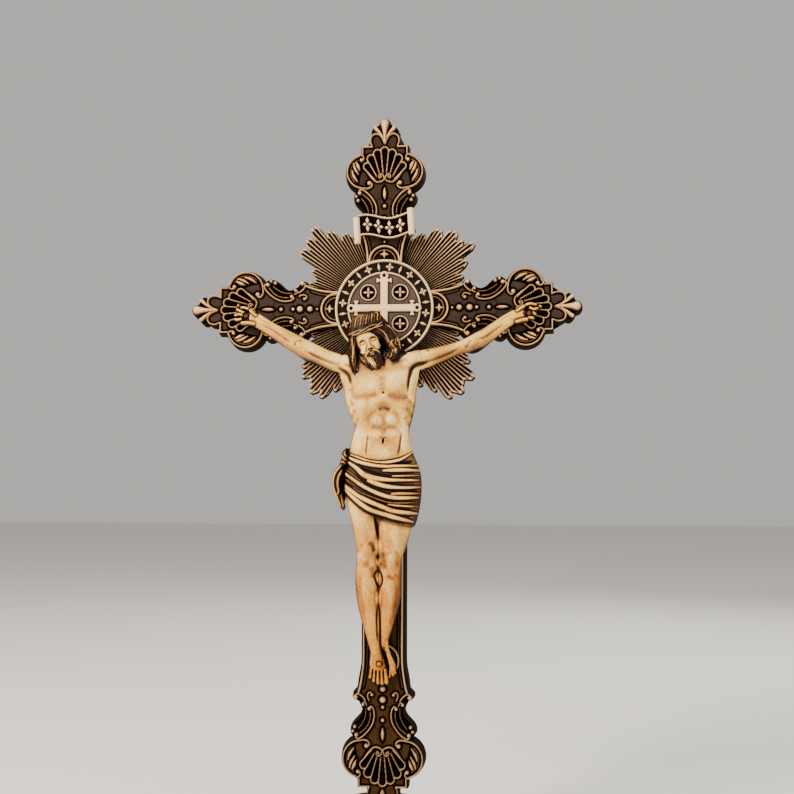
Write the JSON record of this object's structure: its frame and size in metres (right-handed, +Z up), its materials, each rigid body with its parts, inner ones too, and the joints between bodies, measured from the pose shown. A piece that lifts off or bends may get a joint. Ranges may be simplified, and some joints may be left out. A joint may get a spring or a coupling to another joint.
{
  "type": "standing crucifix",
  "caption": "Standing carved-wood crucifix: shell-ended cross boards, corner sunbursts, round medal at the crossing, corpus and an oval domed stand.",
  "frame": {"origin": "centre of the stand's underside, where it rests", "axes": "+Z up along the cross, +X to the viewer's right along the crossbar, the carved front faces -Y"},
  "size_m": [0.2156, 0.084, 0.4061],
  "materials": {
    "stained_wood": "oil-stained carved hardwood, crests rubbed light, hollows nearly black",
    "ray_wood": "stained carved hardwood, fine rays with rubbed crests",
    "medal_wood": "dark stained disc with rubbed raised lines",
    "scroll_wood": "stained carved hardwood",
    "pale_wood": "pale honey carved wood, brown stain left in the hollows",
    "crown_wood": "stained twisted strands",
    "nail_wood": "turned wooden nail heads, stained round the edge",
    "dowel_wood": "plain beech dowel",
    "screw_steel": "zinc-plated steel",
    "felt": "dark felt"
  },
  "bodies": {
    "root": {"upright": "stained_wood", "crossbar": "stained_wood", "plinth": "stained_wood", "dome": "stained_wood", "rays_upper_left": "ray_wood", "rays_upper_right": "ray_wood", "rays_lower_left": "ray_wood", "rays_lower_right": "ray_wood", "medal_disc": "medal_wood", "title_scroll": "scroll_wood", "corpus_body": "pale_wood", "corpus_left_arm": "pale_wood", "corpus_right_arm": "pale_wood", "crown_of_thorns": "crown_wood", "left_hand_nail": "nail_wood", "right_hand_nail": "nail_wood", "feet_nail": "nail_wood", "ray_dowel_1": "dowel_wood", "ray_dowel_2": "dowel_wood", "ray_dowel_3": "dowel_wood", "ray_dowel_4": "dowel_wood", "ray_dowel_5": "dowel_wood", "ray_dowel_6": "dowel_wood", "ray_dowel_7": "dowel_wood", "ray_dowel_8": "dowel_wood", "shoulder_dowel_1": "dowel_wood", "shoulder_dowel_2": "dowel_wood", "corpus_peg_1": "dowel_wood", "corpus_peg_2": "dowel_wood", "medal_peg": "dowel_wood", "title_peg_1": "dowel_wood", "title_peg_2": "dowel_wood", "plinth_screw_1": "screw_steel", "plinth_screw_2": "screw_steel", "tenon_screw": "screw_steel", "felt_pad": "felt"}
  },
  "joints": []
}
